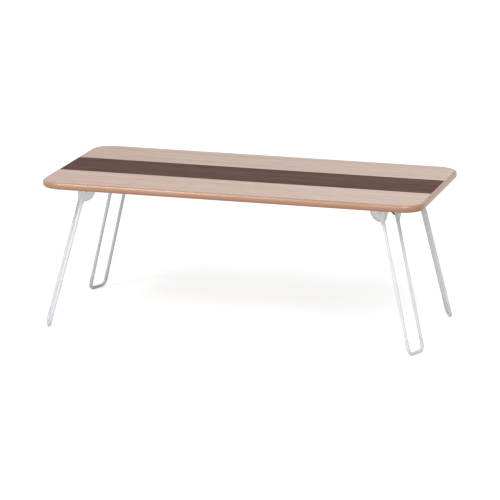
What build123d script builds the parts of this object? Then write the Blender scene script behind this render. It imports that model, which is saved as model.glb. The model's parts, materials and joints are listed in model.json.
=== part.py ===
"""Folding low table: a laminated board on four hairpin legs of bent steel rod.

Each leg hangs in a pressed steel bracket under a corner of the board and folds inwards, flat
under the board, about the two rivets in the bracket's ears.

Units are millimetres. The origin is the middle of the table on the floor, X runs along the
length, -Y is the front and Z is up. Every hinge piece is drawn once in the hinge frame, whose
origin is the middle of the pivot axis, with X outwards to the corner, Y along the pivot axis
and Z up, and is then placed under each corner.
"""

import os
from math import atan2, cos, degrees, pi, radians, sin

from build123d import *

# ---- driving dimensions: board ----
BOARD_LENGTH = 800.0
BOARD_DEPTH = 400.0
BOARD_THICK = 15.0
TABLE_HEIGHT = 312.0
CORNER_RADIUS = 45.0
LAMINATE_THICK = 0.6
BACKING_THICK = 0.4
EDGE_BAND_THICK = 5.5
EDGE_ROUND = 4.5
STRIPE_WIDTH = 131.0
STRIPE_SHIFT = -5.5            # middle of the dark stripe, towards the front of the board

# ---- driving dimensions: hinge places and leg stance ----
HINGE_INSET_END = 79.0         # pivot centre, in from the end of the board
HINGE_INSET_SIDE = 66.0        # pivot centre, in from the long side
PIVOT_DROP = 9.0               # pivot axis below the underside of the board
TOE_ANGLE = 21.5               # legs face the corners by this much
LEAN_ANGLE = 14.7              # open legs lean outwards by this much
ROD_SPACING = 50.0             # between the two rods of a hairpin, centre to centre

# ---- driving dimensions: leg ----
ROD_DIAMETER = 7.0
FOOT_BEND_RADIUS = 12.0        # to the rod's centre
FLAT_WIDTH = 9.6               # the rod's end is pressed flat to this width
FLAT_THICK = 4.4
FLAT_LENGTH = 22.0             # from the pivot to where the flat begins to taper
TAPER_LENGTH = 9.0             # from flat to round
TAPER_SPANS = 3                # spans between the sections that the taper is drawn through
TAPER_FLAT = 0.05              # what is left of the flat sides at its round end
FLAT_EDGE = 1.6                # rounding of the flat's edges
SLEEVE_WALL = 0.8
SLEEVE_RISE = 30.0             # how far the foot sleeve climbs the rods

# ---- driving dimensions: bracket ----
SHEET_THICK = 1.6
BEND_RADIUS = 1.2              # inside radius of the bends
EAR_RADIUS = 25.5
EAR_CENTRE_OUT = 3.0           # centre of the ear's arc, outwards of the pivot
EAR_CENTRE_DROP = 0.4          # and below the start of the bends
EAR_TIP_ROUND = 4.0
RIM_HEIGHT = 2.0               # rolled rim that stands out of the ear along its arc
RIM_ROUND = 1.0
STOP_REACH = 17.0              # the stop flange ends this far below the pivot
STOP_TOP_WIDTH = 17.0
STOP_TIP_WIDTH = 6.5
STOP_TIP_ROUND = 2.0
NUB_DIAMETER = 3.0             # pressed into each ear, to key its liner
NUB_HEIGHT = 0.8
NUB_IN = 10.5                  # nub, inwards of the pivot
NUB_DOWN = 4.0                 # and below it
BASE_INNER = 31.0              # the base plate's reach inwards of the pivot
BASE_SIDE_STEP = 4.0           # its tongue is this much narrower than the channel, each side
BASE_CORNER = 8.0

# ---- driving dimensions: liners, rivets, washers and screws ----
LINER_THICK = 1.2
LINER_MARGIN = 2.2             # the liner stays this far inside the ear's arc
LINER_CORNER = 2.0
RIVET_DIAMETER = 5.0
RIVET_HEAD_DIAMETER = 9.0
RIVET_HEAD_HEIGHT = 1.8
WASHER_DIAMETER = 9.4
WASHER_THICK = 0.5
WASHER_CONE = 0.35             # how much the spring washer is coned
SCREW_DIAMETER = 3.5
SCREW_LENGTH = 12.0
SCREW_POINT = 2.5
SCREW_HEAD_DIAMETER = 7.0
SCREW_HEAD_HEIGHT = 2.2
SCREW_SPREAD = 15.0            # screws to either side of the bracket's middle
SCREW_OUTER = 3.0              # outer pair, outwards of the pivot
SCREW_INNER = 22.0             # inner pair, inwards of the pivot

# ---- clearances ----
RUN_CLEAR = 0.05               # radial, eye on rivet
FACE_CLEAR = 0.1               # between faces that slide on each other
STOP_CLEAR = 0.1               # open leg to its stop flange
HOLE_CLEAR = 0.1               # radial, holes round fixed shanks
SLEEVE_CLEAR = 0.05            # radial, sleeve on rod

# ---- derived: heights ----
UNDERSIDE = TABLE_HEIGHT - BOARD_THICK
PIVOT_HEIGHT = UNDERSIDE - PIVOT_DROP
ROD_RADIUS = ROD_DIAMETER / 2
SLEEVE_BORE = ROD_RADIUS + SLEEVE_CLEAR
SLEEVE_RADIUS = SLEEVE_BORE + SLEEVE_WALL
LEAN = radians(LEAN_ANGLE)
LEG_LENGTH = (PIVOT_HEIGHT - SLEEVE_RADIUS) / cos(LEAN)
FLAT_END = FLAT_LENGTH + TAPER_LENGTH

# ---- derived: layers across the ear, measured from the bracket's middle ----
ROD_OFFSET = ROD_SPACING / 2
EYE_OUTER = ROD_OFFSET + ROD_RADIUS
EYE_INNER = EYE_OUTER - FLAT_THICK
LINER_INNER = EYE_OUTER + FACE_CLEAR
EAR_INNER = LINER_INNER + LINER_THICK
EAR_OUTER = EAR_INNER + SHEET_THICK
WASHER_FACE = EYE_INNER - FACE_CLEAR
RIVET_SEAT = WASHER_FACE - WASHER_THICK - WASHER_CONE

# ---- derived: bracket, in the hinge frame ----
OUTER_BEND = BEND_RADIUS + SHEET_THICK
PLATE_BOTTOM = PIVOT_DROP - SHEET_THICK
BEND_START = PIVOT_DROP - OUTER_BEND
EAR_CENTRE_UP = BEND_START - EAR_CENTRE_DROP
STOP_FACE = (FLAT_WIDTH / 2 + STOP_REACH * sin(LEAN)) / cos(LEAN) + STOP_CLEAR
STOP_BACK = STOP_FACE + SHEET_THICK
EAR_LEFT = EAR_CENTRE_OUT - EAR_RADIUS
EAR_BOTTOM = EAR_CENTRE_UP - EAR_RADIUS
EAR_CENTRE = (EAR_CENTRE_OUT, 0, EAR_CENTRE_UP)
RIM_CUT = EAR_RADIUS + SHEET_THICK
SPARE = 20.0                   # how far cutting and clipping shapes run past the sheet

CORNERS = {
    "front_left": (-1, -1),
    "front_right": (1, -1),
    "rear_left": (-1, 1),
    "rear_right": (1, 1),
}


def corner_place(sign_x, sign_y):
    """Where the hinge frame stands under one corner of the board."""
    toe = radians(TOE_ANGLE)
    heading = degrees(atan2(sign_y * sin(toe), sign_x * cos(toe)))
    pivot_x = sign_x * (BOARD_LENGTH / 2 - HINGE_INSET_END)
    pivot_y = sign_y * (BOARD_DEPTH / 2 - HINGE_INSET_SIDE)
    return Location((pivot_x, pivot_y, PIVOT_HEIGHT), (0, 0, heading))


PLACES = {name: corner_place(*signs) for name, signs in CORNERS.items()}
SCREW_SPOTS = [(x, y) for x in (SCREW_OUTER, -SCREW_INNER) for y in (-SCREW_SPREAD, SCREW_SPREAD)]
BOARD_HOLES = [(place * Location((x, y, 0))).position for place in PLACES.values() for x, y in SCREW_SPOTS]
BOARD_SPOTS = [(hole.X, hole.Y) for hole in BOARD_HOLES]


def save(part, name):
    """Label a finished piece and write it under its node name."""
    part.label = name
    export_step(part, f"parts/{name}.step")


def save_at_corners(blank, name):
    """Place a hinge piece under all four corners and write each copy as its own node."""
    for corner, place in PLACES.items():
        with BuildPart() as piece:
            with Locations(place):
                add(blank.part)
        save(piece.part, f"{name}_{corner}")


def board_outline(inset):
    """The board's rounded rectangle, drawn in from its edge."""
    RectangleRounded(BOARD_LENGTH - 2 * inset, BOARD_DEPTH - 2 * inset, CORNER_RADIUS - inset)


def side_plane(offset):
    """A plane across the pivot axis, with its sketch X outwards and its sketch Y up."""
    return Plane(origin=(0, offset, 0), x_dir=(1, 0, 0), z_dir=(0, -1, 0))


os.makedirs("parts", exist_ok=True)

# ================= board =================

CORE_THICK = BOARD_THICK - LAMINATE_THICK - BACKING_THICK
CORE_BOTTOM = UNDERSIDE + BACKING_THICK
PILOT_DEPTH = SCREW_LENGTH - SHEET_THICK - BACKING_THICK

with BuildPart() as core:
    with BuildSketch(Plane.XY.offset(CORE_BOTTOM)):
        board_outline(EDGE_BAND_THICK)
    extrude(amount=CORE_THICK)
    with BuildSketch(Plane.XY.offset(CORE_BOTTOM)):
        with Locations(*BOARD_SPOTS):
            Circle(SCREW_DIAMETER / 2)
    extrude(amount=PILOT_DEPTH, mode=Mode.SUBTRACT)
save(core.part, "tabletop_core")

with BuildPart() as backing:
    with BuildSketch(Plane.XY.offset(UNDERSIDE)):
        board_outline(EDGE_BAND_THICK)
        with Locations(*BOARD_SPOTS):
            Circle(SCREW_DIAMETER / 2 + HOLE_CLEAR, mode=Mode.SUBTRACT)
    extrude(amount=BACKING_THICK)
save(backing.part, "backing_sheet")

# The top layer is three strips side by side: light, dark, light.
STRIPE_FRONT = STRIPE_SHIFT - STRIPE_WIDTH / 2
STRIPE_REAR = STRIPE_SHIFT + STRIPE_WIDTH / 2
STRIPS = {
    "laminate_front": (-BOARD_DEPTH / 2, STRIPE_FRONT),
    "laminate_stripe": (STRIPE_FRONT, STRIPE_REAR),
    "laminate_rear": (STRIPE_REAR, BOARD_DEPTH / 2),
}
for strip, (low, high) in STRIPS.items():
    with BuildPart() as laminate:
        with BuildSketch(Plane.XY.offset(TABLE_HEIGHT - LAMINATE_THICK)):
            board_outline(EDGE_BAND_THICK)
            with Locations((0, (low + high) / 2)):
                Rectangle(BOARD_LENGTH, high - low, mode=Mode.INTERSECT)
        extrude(amount=LAMINATE_THICK)
    save(laminate.part, strip)

with BuildPart() as edge_band:
    with BuildSketch(Plane.XY.offset(UNDERSIDE)):
        board_outline(0)
    extrude(amount=BOARD_THICK)
    fillet(edge_band.faces().sort_by(Axis.Z)[-1].edges(), EDGE_ROUND)
    fillet(edge_band.faces().sort_by(Axis.Z)[0].edges(), EDGE_ROUND)
    with BuildSketch(Plane.XY.offset(UNDERSIDE)):
        board_outline(EDGE_BAND_THICK)
    extrude(amount=BOARD_THICK, mode=Mode.SUBTRACT)
save(edge_band.part, "edge_band")

# ================= bracket: one pressed sheet, folded to a channel =================

CHANNEL_LENGTH = STOP_BACK - OUTER_BEND - EAR_LEFT
CHANNEL_HEIGHT = PIVOT_DROP - EAR_BOTTOM + SPARE
WRAP_LENGTH = STOP_BACK - EAR_LEFT + SPARE

with BuildPart() as bracket:
    # base plate with an ear folded down on either side
    with BuildSketch(Plane.YZ.offset(EAR_LEFT)):
        with Locations((0, PIVOT_DROP - CHANNEL_HEIGHT / 2)):
            RectangleRounded(2 * EAR_OUTER, CHANNEL_HEIGHT, OUTER_BEND)
        with Locations((0, PLATE_BOTTOM - CHANNEL_HEIGHT / 2)):
            RectangleRounded(2 * EAR_INNER, CHANNEL_HEIGHT, BEND_RADIUS, mode=Mode.SUBTRACT)
    extrude(amount=CHANNEL_LENGTH)
    # outer edges of the ears folded inwards, as stops for the open leg
    with BuildSketch(Plane.XY.offset(BEND_START)):
        with Locations((STOP_BACK - WRAP_LENGTH / 2, 0)):
            RectangleRounded(WRAP_LENGTH, 2 * EAR_OUTER, OUTER_BEND)
        with Locations((STOP_FACE - WRAP_LENGTH / 2, 0)):
            RectangleRounded(WRAP_LENGTH, 2 * EAR_INNER, BEND_RADIUS, mode=Mode.SUBTRACT)
    extrude(amount=EAR_BOTTOM - BEND_START)
    # the ears are cut to a straight outer edge and an arc
    with BuildSketch(side_plane(0)) as ear:
        with Locations((EAR_CENTRE_OUT, EAR_CENTRE_UP)):
            Circle(EAR_RADIUS)
        with Locations(((EAR_LEFT + STOP_BACK) / 2, (EAR_BOTTOM + PIVOT_DROP) / 2)):
            Rectangle(STOP_BACK - EAR_LEFT, PIVOT_DROP - EAR_BOTTOM, mode=Mode.INTERSECT)
        fillet(ear.vertices().sort_by(Axis.X).group_by(Axis.Y)[0][-1], EAR_TIP_ROUND)
    extrude(amount=EAR_OUTER, both=True, mode=Mode.INTERSECT)
    # the stop flanges taper downwards and leave the way between them open
    tip_edge = EAR_INNER - STOP_TIP_WIDTH
    top_edge = EAR_INNER - STOP_TOP_WIDTH
    below = EAR_BOTTOM - SPARE
    with BuildSketch(Plane.YZ.offset(STOP_FACE - BEND_RADIUS)) as window:
        with BuildLine():
            Polyline(
                (0, below), (EAR_INNER, below), (EAR_INNER, -STOP_REACH), (tip_edge, -STOP_REACH),
                (top_edge, BEND_START), (top_edge, PIVOT_DROP), (0, PIVOT_DROP), close=True,
            )
        make_face()
        fillet(window.vertices().group_by(Axis.Y)[1].sort_by(Axis.X)[0], STOP_TIP_ROUND)
        mirror(about=Plane.YZ)
    extrude(amount=OUTER_BEND + SPARE, mode=Mode.SUBTRACT)
    # along a quarter of its arc the ear's edge is cut back and rolled outwards to a rim
    with BuildSketch(side_plane(0)):
        with Locations((EAR_CENTRE_OUT, EAR_CENTRE_UP)):
            Circle(RIM_CUT)
            Circle(EAR_RADIUS - SHEET_THICK, mode=Mode.SUBTRACT)
        with Locations((EAR_CENTRE_OUT - RIM_CUT / 2, EAR_CENTRE_UP - RIM_CUT / 2)):
            Rectangle(RIM_CUT, RIM_CUT, mode=Mode.INTERSECT)
    extrude(amount=EAR_OUTER, both=True, mode=Mode.SUBTRACT)
    with BuildSketch(Plane(origin=EAR_CENTRE, x_dir=(-1, 0, 0), z_dir=(0, 0, 1))) as rim:
        with Locations((EAR_RADIUS - SHEET_THICK / 2, (EAR_INNER + EAR_OUTER + RIM_HEIGHT) / 2)):
            Rectangle(SHEET_THICK, SHEET_THICK + RIM_HEIGHT)
        fillet(rim.vertices().group_by(Axis.X)[-1].sort_by(Axis.Y)[0], RIM_ROUND)
        mirror(about=Plane.XZ)
    revolve(axis=Axis(EAR_CENTRE, (0, -1, 0)), revolution_arc=90)
    # a tongue carries the base plate inwards, past the ears
    with BuildSketch(Plane.XY.offset(PLATE_BOTTOM)) as tongue:
        with Locations((-BASE_INNER / 2, 0)):
            Rectangle(BASE_INNER, 2 * (EAR_OUTER - BASE_SIDE_STEP))
        fillet(tongue.vertices().group_by(Axis.X)[0], BASE_CORNER)
    extrude(amount=SHEET_THICK)
    # holes for screws and rivets
    with BuildSketch(Plane.XY.offset(PLATE_BOTTOM)):
        with Locations(*SCREW_SPOTS):
            Circle(SCREW_DIAMETER / 2 + HOLE_CLEAR)
    extrude(amount=SHEET_THICK, mode=Mode.SUBTRACT)
    with BuildSketch(side_plane(0)):
        Circle(RIVET_DIAMETER / 2 + HOLE_CLEAR)
    extrude(amount=EAR_OUTER + RIM_HEIGHT, both=True, mode=Mode.SUBTRACT)
    # a nub is pressed inwards out of each ear and leaves a dimple outside
    for side in (1, -1):
        for face, change in ((EAR_OUTER, Mode.SUBTRACT), (EAR_INNER, Mode.ADD)):
            with BuildSketch(side_plane(side * face)):
                with Locations((-NUB_IN, -NUB_DOWN)):
                    Circle(NUB_DIAMETER / 2)
            extrude(amount=side * NUB_HEIGHT, mode=change)
save_at_corners(bracket, "bracket")

# ================= liners: black nylon plates between the ears and the legs =================

LINER_TOP = PLATE_BOTTOM - BEND_RADIUS - FACE_CLEAR
LINER_RIGHT = STOP_FACE - BEND_RADIUS - FACE_CLEAR

with BuildPart() as liners:
    with BuildSketch(side_plane(LINER_INNER)) as liner:
        with Locations((EAR_CENTRE_OUT, EAR_CENTRE_UP)):
            Circle(EAR_RADIUS - LINER_MARGIN)
        with Locations(((EAR_LEFT + LINER_RIGHT) / 2, (EAR_BOTTOM + LINER_TOP) / 2)):
            Rectangle(LINER_RIGHT - EAR_LEFT, LINER_TOP - EAR_BOTTOM, mode=Mode.INTERSECT)
        fillet(liner.vertices(), LINER_CORNER)
        Circle(RIVET_DIAMETER / 2 + HOLE_CLEAR, mode=Mode.SUBTRACT)
        # the ear's nub sits in a hole, which stops the liner from turning
        with Locations((-NUB_IN, -NUB_DOWN)):
            Circle(NUB_DIAMETER / 2 + HOLE_CLEAR, mode=Mode.SUBTRACT)
    extrude(amount=-LINER_THICK)
    mirror(about=Plane.XZ)
save_at_corners(liners, "pivot_liners")

# ================= pivot rivets and their spring washers =================

with BuildPart() as rivets:
    with BuildSketch(Plane.YZ):
        with BuildLine():
            inner_top = (RIVET_SEAT - RIVET_HEAD_HEIGHT, 0)
            outer_top = (EAR_OUTER + RIVET_HEAD_HEIGHT, 0)
            TangentArc(inner_top, (RIVET_SEAT, RIVET_HEAD_DIAMETER / 2), tangent=(0, 1))
            Polyline(
                (RIVET_SEAT, RIVET_HEAD_DIAMETER / 2), (RIVET_SEAT, RIVET_DIAMETER / 2),
                (EAR_OUTER, RIVET_DIAMETER / 2), (EAR_OUTER, RIVET_HEAD_DIAMETER / 2),
            )
            TangentArc(outer_top, (EAR_OUTER, RIVET_HEAD_DIAMETER / 2), tangent=(0, 1))
            Line(inner_top, outer_top)
        make_face()
    revolve(axis=Axis.Y)
    mirror(about=Plane.XZ)
save_at_corners(rivets, "pivot_rivets")

with BuildPart() as washers:
    with BuildSketch(Plane.YZ):
        with BuildLine():
            bore = RIVET_DIAMETER / 2 + HOLE_CLEAR
            Polyline(
                (RIVET_SEAT, bore), (RIVET_SEAT + WASHER_THICK, bore),
                (WASHER_FACE, WASHER_DIAMETER / 2), (WASHER_FACE - WASHER_THICK, WASHER_DIAMETER / 2),
                close=True,
            )
        make_face()
    revolve(axis=Axis.Y)
    mirror(about=Plane.XZ)
save_at_corners(washers, "spring_washers")

# ================= bracket screws =================

with BuildPart() as screws:
    with BuildSketch(Plane.XZ):
        with BuildLine():
            head_top = (0, PLATE_BOTTOM - SCREW_HEAD_HEIGHT)
            tip = (0, PLATE_BOTTOM + SCREW_LENGTH)
            TangentArc(head_top, (SCREW_HEAD_DIAMETER / 2, PLATE_BOTTOM), tangent=(1, 0))
            Polyline(
                (SCREW_HEAD_DIAMETER / 2, PLATE_BOTTOM), (SCREW_DIAMETER / 2, PLATE_BOTTOM),
                (SCREW_DIAMETER / 2, PLATE_BOTTOM + SCREW_LENGTH - SCREW_POINT), tip, head_top,
            )
        make_face()
    revolve(axis=Axis.Z)
with BuildPart() as screw_group:
    with Locations(*SCREW_SPOTS):
        add(screws.part)
save_at_corners(screw_group, "bracket_screws")

# ================= leg: a hairpin of round rod with flattened, pierced ends =================

LEG_UP = (-sin(LEAN), 0, cos(LEAN))
LEG_FACE = (cos(LEAN), 0, sin(LEAN))
LEG_PLANE = Plane(origin=(0, 0, 0), x_dir=(0, 1, 0), z_dir=LEG_FACE)


def hairpin_path(start):
    """The rod's centre line: down one side from a distance below the pivot, and up the other."""
    return FilletPolyline(
        (ROD_OFFSET, -start), (ROD_OFFSET, -LEG_LENGTH),
        (-ROD_OFFSET, -LEG_LENGTH), (-ROD_OFFSET, -start),
        radius=FOOT_BEND_RADIUS,
    )


def across_leg(distance, offset):
    """A plane square to the leg, below the pivot, with its sketch X along the pivot axis."""
    origin = (distance * sin(LEAN), offset, -distance * cos(LEAN))
    return Plane(origin=origin, x_dir=(0, 1, 0), z_dir=LEG_UP)


def taper_size(flat, at_round, along):
    """A size of the taper's section, eased from the flat end (0) to the round end (1)."""
    share = (1 - cos(pi * along)) / 2
    return flat + (at_round - flat) * share


with BuildPart() as leg:
    with BuildLine(LEG_PLANE) as rod_line:
        hairpin_path(FLAT_END)
    with BuildSketch(across_leg(FLAT_END, ROD_OFFSET)):
        Circle(ROD_RADIUS)
    sweep(path=rod_line.line)
    for side in (1, -1):
        eye_plane = Plane(origin=(0, side * EYE_INNER, 0), x_dir=LEG_FACE, z_dir=(0, -1, 0))
        # flattened end, rounded about the pivot
        with BuildSketch(eye_plane):
            Circle(FLAT_WIDTH / 2)
            with Locations((0, -FLAT_LENGTH / 2)):
                Rectangle(FLAT_WIDTH, FLAT_LENGTH)
        extrude(amount=-side * FLAT_THICK)
        outline = leg.edges(Select.LAST)
        long_edges = outline.filter_by(Axis((0, 0, 0), LEG_UP))
        fillet(long_edges + outline.filter_by(GeomType.CIRCLE), FLAT_EDGE)
        # taper from flat to round
        for span in range(TAPER_SPANS + 1):
            along = span / TAPER_SPANS
            middle = side * taper_size((EYE_INNER + EYE_OUTER) / 2, ROD_OFFSET, along)
            with BuildSketch(across_leg(FLAT_LENGTH + along * TAPER_LENGTH, middle)):
                RectangleRounded(
                    taper_size(FLAT_THICK, ROD_DIAMETER, along),
                    taper_size(FLAT_WIDTH, ROD_DIAMETER, along),
                    taper_size(FLAT_EDGE, ROD_RADIUS - TAPER_FLAT, along),
                )
        loft()
    with BuildSketch(side_plane(0)):
        Circle(RIVET_DIAMETER / 2 + RUN_CLEAR)
    extrude(amount=EYE_OUTER + SPARE, both=True, mode=Mode.SUBTRACT)
save_at_corners(leg, "leg")

# ================= foot sleeve: clear tube over the bottom bend =================

with BuildPart() as sleeve:
    with BuildLine(LEG_PLANE) as sleeve_line:
        hairpin_path(LEG_LENGTH - SLEEVE_RISE)
    with BuildSketch(across_leg(LEG_LENGTH - SLEEVE_RISE, ROD_OFFSET)):
        Circle(SLEEVE_RADIUS)
        Circle(SLEEVE_BORE, mode=Mode.SUBTRACT)
    sweep(path=sleeve_line.line)
save_at_corners(sleeve, "foot_sleeve")
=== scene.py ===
"""Folding low table on hairpin legs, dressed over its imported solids.

The board's films, core and backing, the brackets, legs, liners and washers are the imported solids
with procedural finishes. The edge band, screws, rivets and foot sleeves are made here by node
trees that follow the same sizes, and stand for their solids. Lengths are metres; MM turns a
drawing's millimetres into them.
"""

import json
import logging
import math
from collections.abc import Mapping, Sequence
from dataclasses import dataclass
from enum import Enum
from typing import Any

import bpy
from mathutils import Matrix, Vector


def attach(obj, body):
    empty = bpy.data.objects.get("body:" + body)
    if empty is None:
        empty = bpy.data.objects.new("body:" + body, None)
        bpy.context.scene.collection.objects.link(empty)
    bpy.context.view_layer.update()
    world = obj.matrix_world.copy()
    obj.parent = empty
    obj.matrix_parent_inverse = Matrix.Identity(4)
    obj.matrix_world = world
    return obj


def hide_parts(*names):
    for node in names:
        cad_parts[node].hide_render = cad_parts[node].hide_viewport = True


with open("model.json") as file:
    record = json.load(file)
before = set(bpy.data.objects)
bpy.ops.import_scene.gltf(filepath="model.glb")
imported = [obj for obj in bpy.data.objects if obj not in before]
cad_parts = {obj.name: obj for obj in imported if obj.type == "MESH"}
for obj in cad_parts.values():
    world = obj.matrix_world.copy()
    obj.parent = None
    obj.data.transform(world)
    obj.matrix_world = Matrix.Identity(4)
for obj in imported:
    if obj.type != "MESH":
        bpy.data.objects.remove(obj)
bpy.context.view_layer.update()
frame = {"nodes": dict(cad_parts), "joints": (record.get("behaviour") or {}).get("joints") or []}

LOG = logging.getLogger("low_table")
MM = 0.001
BOARD_BODY = "board"
JOINT_END = "_fold"
# The middle of a soft random pattern, and of a mix of two colours.
MIDDLE = 0.5

Colour = tuple[float, float, float, float]
Triple = tuple[float, float, float]
Socket = bpy.types.NodeSocket


def tone(red: int, green: int, blue: int) -> Colour:
    """A colour as it looks on a screen, turned into the light values that shaders use.

    Args:
        red: Screen value from 0 to 255.
        green: Screen value from 0 to 255.
        blue: Screen value from 0 to 255.

    Returns:
        The linear colour, opaque.
    """

    def linear(value: int) -> float:
        """One channel's light value."""
        share = value / 255
        return share / 12.92 if share <= 0.04045 else ((share + 0.055) / 1.055) ** 2.4

    return linear(red), linear(green), linear(blue), 1.0


def even(fine: float) -> Triple:
    """The same fineness along all three axes."""
    return fine, fine, fine


# ---------------------------------------------------------------- node trees


class NodeSheet:
    """A node tree, with one way of adding any node to it."""

    def __init__(self, tree: bpy.types.NodeTree) -> None:
        """Keep the tree that nodes are added to."""
        self.tree = tree

    def node(
        self,
        kind: str,
        settings: Mapping[str, Any] | None = None,
        sockets: Mapping[str | int, Any] | None = None,
    ) -> bpy.types.Node:
        """Add a node.

        Args:
            kind: The node's type name.
            settings: What is set on the node itself, before its sockets. "items" is the number
                of items of an index switch.
            sockets: A value or a link for each input, by place, identifier or name.

        Returns:
            The new node.
        """
        made = self.tree.nodes.new(kind)
        for name, value in (settings or {}).items():
            if name == "items":
                while len(made.index_switch_items) < value:
                    made.index_switch_items.new()
            else:
                setattr(made, name, value)
        for key, value in (sockets or {}).items():
            self.plug(self.pick(made.inputs, key), value)
        return made

    @staticmethod
    def pick(sockets: Sequence[Socket], key: str | int) -> Socket:
        """Find a socket.

        Args:
            sockets: A node's inputs or outputs.
            key: Its place, its identifier or its name.

        Returns:
            The socket.
        """
        if isinstance(key, int):
            return sockets[key]
        for socket in sockets:
            if socket.identifier == key:
                return socket
        return sockets[key]

    def plug(self, socket: Socket, value: Any) -> None:
        """Fill an input.

        Args:
            socket: The input.
            value: A socket or a field to link, a list of them, or a plain value to set.
        """
        if isinstance(value, Field):
            value = value.socket
        if isinstance(value, list):
            for one in value:
                self.plug(socket, one)
        elif isinstance(value, Socket):
            self.tree.links.new(value, socket)
        else:
            socket.default_value = value

    def out(
        self,
        kind: str,
        settings: Mapping[str, Any] | None = None,
        sockets: Mapping[str | int, Any] | None = None,
        output: str | int = 0,
    ) -> Socket:
        """Add a node and take one of its outputs; see node() for the rest."""
        return self.pick(self.node(kind, settings, sockets).outputs, output)

    def field(
        self,
        kind: str,
        settings: Mapping[str, Any] | None = None,
        sockets: Mapping[str | int, Any] | None = None,
        output: str | int = 0,
    ) -> "Field":
        """Add a node and take one of its outputs as a number field; see node() for the rest."""
        return Field(self, self.out(kind, settings, sockets, output))

    def maths(self, operation: str, *terms: Any) -> "Field":
        """Add a Math node with its inputs in order, numbers or fields."""
        return self.field("ShaderNodeMath", {"operation": operation}, dict(enumerate(terms)))

    def vector(self, x: Any = 0.0, y: Any = 0.0, z: Any = 0.0) -> Socket:
        """Put three numbers or fields together as a vector."""
        return self.out("ShaderNodeCombineXYZ", None, {0: x, 1: y, 2: z})

    def parts(self, vector: Socket) -> tuple["Field", "Field", "Field"]:
        """Take a vector apart into its X, Y and Z."""
        x, y, z = self.node("ShaderNodeSeparateXYZ", None, {0: vector}).outputs
        return Field(self, x), Field(self, y), Field(self, z)


class Field:
    """A number that varies over a piece: a socket with arithmetic."""

    def __init__(self, sheet: NodeSheet, socket: Socket) -> None:
        """Keep the socket and the sheet that it is on."""
        self.sheet = sheet
        self.socket = socket

    def math(self, operation: str, *others: Any) -> "Field":
        """Add a Math node that takes self first, and then the others."""
        return self.sheet.maths(operation, self, *others)

    def __add__(self, other: Any) -> "Field":
        """Self plus other."""
        return self.math("ADD", other)

    __radd__ = __add__

    def __sub__(self, other: Any) -> "Field":
        """Self minus other."""
        return self.math("SUBTRACT", other)

    def __rsub__(self, other: Any) -> "Field":
        """Other minus self."""
        return self.sheet.maths("SUBTRACT", other, self)

    def __mul__(self, other: Any) -> "Field":
        """Self times other."""
        return self.math("MULTIPLY", other)

    __rmul__ = __mul__

    def __truediv__(self, other: Any) -> "Field":
        """Self divided by other."""
        return self.math("DIVIDE", other)

    def __rtruediv__(self, other: Any) -> "Field":
        """Other divided by self."""
        return self.sheet.maths("DIVIDE", other, self)

    def __pow__(self, other: Any) -> "Field":
        """Self to the power of other."""
        return self.math("POWER", other)

    def __rpow__(self, other: Any) -> "Field":
        """Other to the power of self."""
        return self.sheet.maths("POWER", other, self)

    def least(self, other: Any) -> "Field":
        """The smaller of self and other."""
        return self.math("MINIMUM", other)

    def most(self, other: Any) -> "Field":
        """The larger of self and other."""
        return self.math("MAXIMUM", other)

    def size(self) -> "Field":
        """Self without its sign."""
        return self.math("ABSOLUTE")

    def over(self, edge: Any) -> "Field":
        """1 where self is greater than the edge, and 0 elsewhere."""
        return self.math("GREATER_THAN", edge)

    def rise(self, low: Any, high: Any) -> "Field":
        """A smooth step from 0 at low to 1 at high."""
        settings = {"interpolation_type": "SMOOTHSTEP"}
        return self.sheet.field("ShaderNodeMapRange", settings, {0: self, 1: low, 2: high})

    def swing(self, strength: float, middle: float = MIDDLE) -> "Field":
        """How far self is from a middle value, times a strength."""
        return (self - middle) * strength


# ---------------------------------------------------------------- finishes


@dataclass(frozen=True)
class Pattern:
    """A soft random pattern, and what it does to a finish.

    Attributes:
        fine: How fine it is along X, Y and Z, per metre.
        layers: How many finer layers it has.
        layer_strength: How strong each finer layer is.
        edge: Where a spot of it begins and where it is full.
        show: How far it moves the colour.
        dull: How far it moves the roughness.
    """

    fine: Triple
    layers: float = 2.0
    layer_strength: float = 0.5
    edge: tuple[float, float] = (0.0, 1.0)
    show: float = 0.0
    dull: float = 0.0


@dataclass(frozen=True)
class Relief:
    """A fine relief: its depth in metres, and how strongly it turns the light."""

    depth: float
    strength: float


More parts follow.
